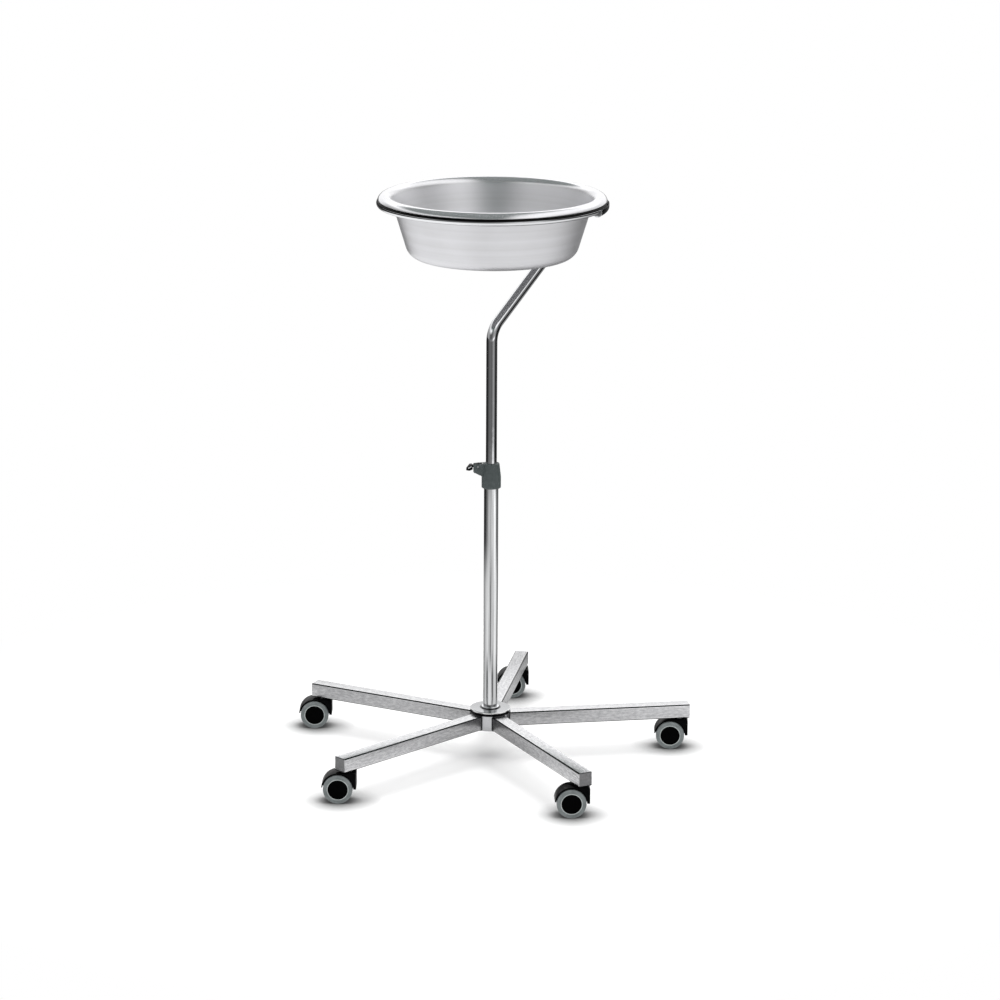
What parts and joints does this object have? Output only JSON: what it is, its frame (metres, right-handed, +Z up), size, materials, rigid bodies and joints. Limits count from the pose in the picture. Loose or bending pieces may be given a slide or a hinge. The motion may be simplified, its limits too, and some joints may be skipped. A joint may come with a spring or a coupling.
{
  "type": "bowl stand",
  "caption": "Height-adjustable stainless steel stand that carries a round basin in an open ring on a bent mast, with a clamped column and a star base on twin-wheel castors.",
  "frame": {"origin": "on the floor, at the column's axis", "axes": "+Z up, +X to the right and +Y to the back in the picture's view"},
  "size_m": [0.6968, 0.6753, 0.9975],
  "materials": {
    "satin_steel": "satin, ground along the tube",
    "bowl_steel": "satin inside and out, bright rim",
    "bright_steel": "polished",
    "plain_steel": "turned, zinc-bright",
    "slate_plastic": "moulded, satin",
    "black_plastic": "moulded, glossy",
    "grey_plastic": "moulded, satin",
    "guide_plastic": "moulded",
    "tread_rubber": "moulded, satin"
  },
  "bodies": {
    "base": {"hub": "satin_steel", "arm_1": "satin_steel", "arm_2": "satin_steel", "arm_3": "satin_steel", "arm_4": "satin_steel", "arm_5": "satin_steel", "arm_plugs": "grey_plastic", "stem_sockets": "plain_steel", "castor_stems": "plain_steel", "column": "bright_steel", "column_ring": "bright_steel", "column_plug": "grey_plastic", "column_bush": "guide_plastic", "clamp_body": "slate_plastic", "clamp_shoe": "guide_plastic", "lever_pin": "plain_steel"},
    "lever": {"clamp_lever": "black_plastic", "lever_strip": "bright_steel"},
    "mast_carrier": {"mast_bush": "guide_plastic"},
    "mast": {"mast": "bright_steel", "mast_plug": "guide_plastic", "mast_keeper": "plain_steel", "bowl_ring": "bright_steel", "ring_joint": "black_plastic", "ring_clip": "bright_steel"},
    "bowl": {"bowl": "bowl_steel"},
    "castor_1": {"castor_hood_1": "black_plastic", "castor_axle_1": "plain_steel"},
    "wheel_1_a": {"wheel_core_1_a": "black_plastic", "wheel_tread_1_a": "tread_rubber"},
    "wheel_1_b": {"wheel_core_1_b": "black_plastic", "wheel_tread_1_b": "tread_rubber"},
    "castor_2": {"castor_hood_2": "black_plastic", "castor_axle_2": "plain_steel"},
    "wheel_2_a": {"wheel_core_2_a": "black_plastic", "wheel_tread_2_a": "tread_rubber"},
    "wheel_2_b": {"wheel_core_2_b": "black_plastic", "wheel_tread_2_b": "tread_rubber"},
    "castor_3": {"castor_hood_3": "black_plastic", "castor_axle_3": "plain_steel"},
    "wheel_3_a": {"wheel_core_3_a": "black_plastic", "wheel_tread_3_a": "tread_rubber"},
    "wheel_3_b": {"wheel_core_3_b": "black_plastic", "wheel_tread_3_b": "tread_rubber"},
    "castor_4": {"castor_hood_4": "black_plastic", "castor_axle_4": "plain_steel"},
    "wheel_4_a": {"wheel_core_4_a": "black_plastic", "wheel_tread_4_a": "tread_rubber"},
    "wheel_4_b": {"wheel_core_4_b": "black_plastic", "wheel_tread_4_b": "tread_rubber"},
    "castor_5": {"castor_hood_5": "black_plastic", "castor_axle_5": "plain_steel"},
    "wheel_5_a": {"wheel_core_5_a": "black_plastic", "wheel_tread_5_a": "tread_rubber"},
    "wheel_5_b": {"wheel_core_5_b": "black_plastic", "wheel_tread_5_b": "tread_rubber"}
  },
  "joints": [
    {"name": "mast_slide", "type": "slide", "parent": "base", "child": "mast_carrier", "axis": [0, 0, 1], "range_m": [-0.19, 0.15]},
    {"name": "mast_turn", "type": "hinge", "parent": "mast_carrier", "child": "mast", "pos_m": [0, 0, 0.5], "axis": [0, 0, 1], "continuous": true},
    {"name": "bowl_lift", "type": "slide", "parent": "mast", "child": "bowl", "axis": [0, 0, 1], "range_m": [0, 0.13]},
    {"name": "lever_swing", "type": "hinge", "parent": "base", "child": "lever", "pos_m": [-0.023, 0, 0.5244], "axis": [0, 1, 0], "range_deg": [0, 75]},
    {"name": "castor_1_swivel", "type": "hinge", "parent": "base", "child": "castor_1", "pos_m": [0.3344, 0.05057, 0.05], "axis": [0, 0, 1], "continuous": true},
    {"name": "wheel_1_a_spin", "type": "hinge", "parent": "castor_1", "child": "wheel_1_a", "pos_m": [0.31891, 0.05111, 0.025], "axis": [-0.0349, -0.9994, 0], "continuous": true},
    {"name": "wheel_1_b_spin", "type": "hinge", "parent": "castor_1", "child": "wheel_1_b", "pos_m": [0.31891, 0.05111, 0.025], "axis": [-0.0349, -0.9994, 0], "continuous": true},
    {"name": "castor_2_swivel", "type": "hinge", "parent": "base", "child": "castor_2", "pos_m": [0.05524, 0.33366, 0.05], "axis": [0, 0, 1], "continuous": true},
    {"name": "wheel_2_a_spin", "type": "hinge", "parent": "castor_2", "child": "wheel_2_a", "pos_m": [0.03974, 0.33339, 0.025], "axis": [0.0175, -0.9998, 0], "continuous": true},
    {"name": "wheel_2_b_spin", "type": "hinge", "parent": "castor_2", "child": "wheel_2_b", "pos_m": [0.03974, 0.33339, 0.025], "axis": [0.0175, -0.9998, 0], "continuous": true},
    {"name": "castor_3_swivel", "type": "hinge", "parent": "base", "child": "castor_3", "pos_m": [-0.30026, 0.15564, 0.05], "axis": [0, 0, 1], "continuous": true},
    {"name": "wheel_3_a_spin", "type": "hinge", "parent": "castor_3", "child": "wheel_3_a", "pos_m": [-0.31576, 0.15564, 0.025], "axis": [0, -1, 0], "continuous": true},
    {"name": "wheel_3_b_spin", "type": "hinge", "parent": "castor_3", "child": "wheel_3_b", "pos_m": [-0.31576, 0.15564, 0.025], "axis": [0, -1, 0], "continuous": true},
    {"name": "castor_4_swivel", "type": "hinge", "parent": "base", "child": "castor_4", "pos_m": [-0.24081, -0.23747, 0.05], "axis": [0, 0, 1], "continuous": true},
    {"name": "wheel_4_a_spin", "type": "hinge", "parent": "castor_4", "child": "wheel_4_a", "pos_m": [-0.2563, -0.2372, 0.025], "axis": [-0.0175, -0.9998, 0], "continuous": true},
    {"name": "wheel_4_b_spin", "type": "hinge", "parent": "castor_4", "child": "wheel_4_b", "pos_m": [-0.2563, -0.2372, 0.025], "axis": [-0.0175, -0.9998, 0], "continuous": true},
    {"name": "castor_5_swivel", "type": "hinge", "parent": "base", "child": "castor_5", "pos_m": [0.15143, -0.3024, 0.05], "axis": [0, 0, 1], "continuous": true},
    {"name": "wheel_5_a_spin", "type": "hinge", "parent": "castor_5", "child": "wheel_5_a", "pos_m": [0.13594, -0.30294, 0.025], "axis": [0.0349, -0.9994, 0], "continuous": true},
    {"name": "wheel_5_b_spin", "type": "hinge", "parent": "castor_5", "child": "wheel_5_b", "pos_m": [0.13594, -0.30294, 0.025], "axis": [0.0349, -0.9994, 0], "continuous": true}
  ]
}
